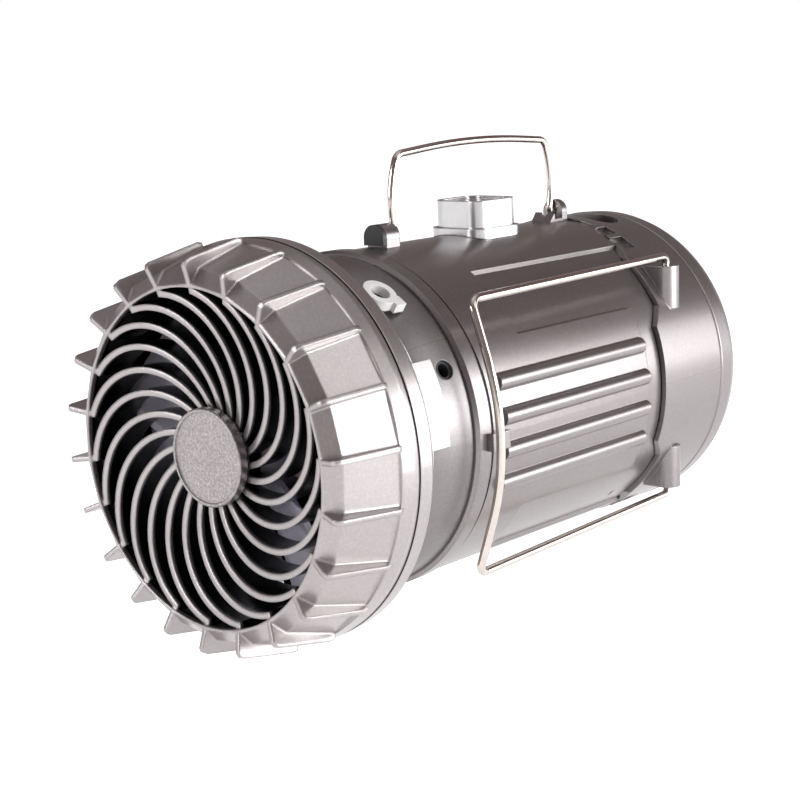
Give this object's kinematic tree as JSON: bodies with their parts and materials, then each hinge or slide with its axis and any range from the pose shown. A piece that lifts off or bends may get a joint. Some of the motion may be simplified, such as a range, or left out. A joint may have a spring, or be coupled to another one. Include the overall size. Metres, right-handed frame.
{
  "type": "portable camping fan",
  "caption": "Round fan head on a grooved lantern barrel with a pull-out lamp cap, wire bails, a folding side handle and a push button.",
  "frame": {"origin": "centre of the flat rear face of the cap, on the long axis", "axes": "+Y rearwards along the long axis, away from the fan; +Z towards the push button and the side handle; +X towards the charging socket's side"},
  "size_m": [0.1006, 0.1705, 0.1194],
  "materials": {
    "silver_paint": "satin metallic paint, warm silver",
    "bright_silver": "bright silver plating",
    "nickel_wire": "polished nickel wire",
    "black_plastic": "matt",
    "white_plastic": "smooth white",
    "rotor_plastic": "smooth grey-violet",
    "diffuser": "milky",
    "steel": "plain",
    "magnet": "matt",
    "winding": "enamelled copper",
    "bush": "plain",
    "board": "solder mask",
    "cell_wrap": "shrink wrap",
    "solar_dark": "dark cells",
    "clear_cover": "clear",
    "led": "milky lens"
  },
  "bodies": {
    "lantern": {"front_guard": "silver_paint", "hub_cap": "silver_paint", "head_shell": "silver_paint", "vent_ring": "white_plastic", "motor_can": "steel", "motor_magnets": "magnet", "motor_end_bell": "black_plastic", "motor_bush_front": "bush", "motor_bush_rear": "bush", "motor_bracket": "steel", "neck_collar": "silver_paint", "dc_jack": "black_plastic", "barrel_front_ring": "silver_paint", "barrel_shell": "silver_paint", "lamp_sleeve": "white_plastic", "battery_holder": "black_plastic", "battery_contact_front": "steel", "battery_contact_rear": "steel", "battery_lid": "black_plastic", "control_board": "board", "switch_body": "black_plastic", "switch_bezel": "bright_silver", "switch_spring": "steel", "handle_end_cap": "black_plastic", "bail_catch_near": "silver_paint", "bail_catch_far": "silver_paint", "head_screw_1": "steel", "head_screw_2": "steel", "head_screw_3": "steel", "head_screw_4": "steel", "bracket_screw_1": "steel", "bracket_screw_2": "steel", "battery_cell_1": "cell_wrap", "battery_cell_2": "cell_wrap", "battery_cell_3": "cell_wrap"},
    "fan": {"fan_rotor": "rotor_plastic", "motor_shaft": "steel", "motor_armature": "winding"},
    "button": {"switch_button": "bright_silver"},
    "handle": {"side_handle": "nickel_wire"},
    "lamp": {"rear_cap": "silver_paint", "end_ring": "silver_paint", "solar_cells": "solar_dark", "solar_cover": "clear_cover", "lamp_plate": "white_plastic", "lamp_diffuser": "diffuser", "led_board": "board", "led_chips": "led"},
    "near_bail": {"bail_near": "nickel_wire"},
    "far_bail": {"bail_far": "nickel_wire"}
  },
  "joints": [
    {"name": "fan_spin", "type": "hinge", "parent": "lantern", "child": "fan", "pos_m": [0, -0.1515, 0], "axis": [0, 1, 0], "continuous": true},
    {"name": "switch_press", "type": "slide", "parent": "lantern", "child": "button", "axis": [0, 0, -1], "range_m": [0, 0.0015], "stiffness_N_per_m": 400, "springref_m": -0.002, "deforming": ["switch_spring"]},
    {"name": "handle_fold", "type": "hinge", "parent": "lantern", "child": "handle", "pos_m": [0, -0.0643, 0.0455], "axis": [0, 1, 0], "range_deg": [-98, 98]},
    {"name": "lamp_slide", "type": "slide", "parent": "lantern", "child": "lamp", "axis": [0, 1, 0], "range_m": [0, 0.06]},
    {"name": "near_bail_swing", "type": "hinge", "parent": "lamp", "child": "near_bail", "pos_m": [0.036, -0.026, 0], "axis": [0, 0, 1], "range_deg": [0, 180]},
    {"name": "far_bail_swing", "type": "hinge", "parent": "lamp", "child": "far_bail", "pos_m": [-0.036, -0.026, 0], "axis": [0, 0, -1], "range_deg": [0, 180]}
  ]
}
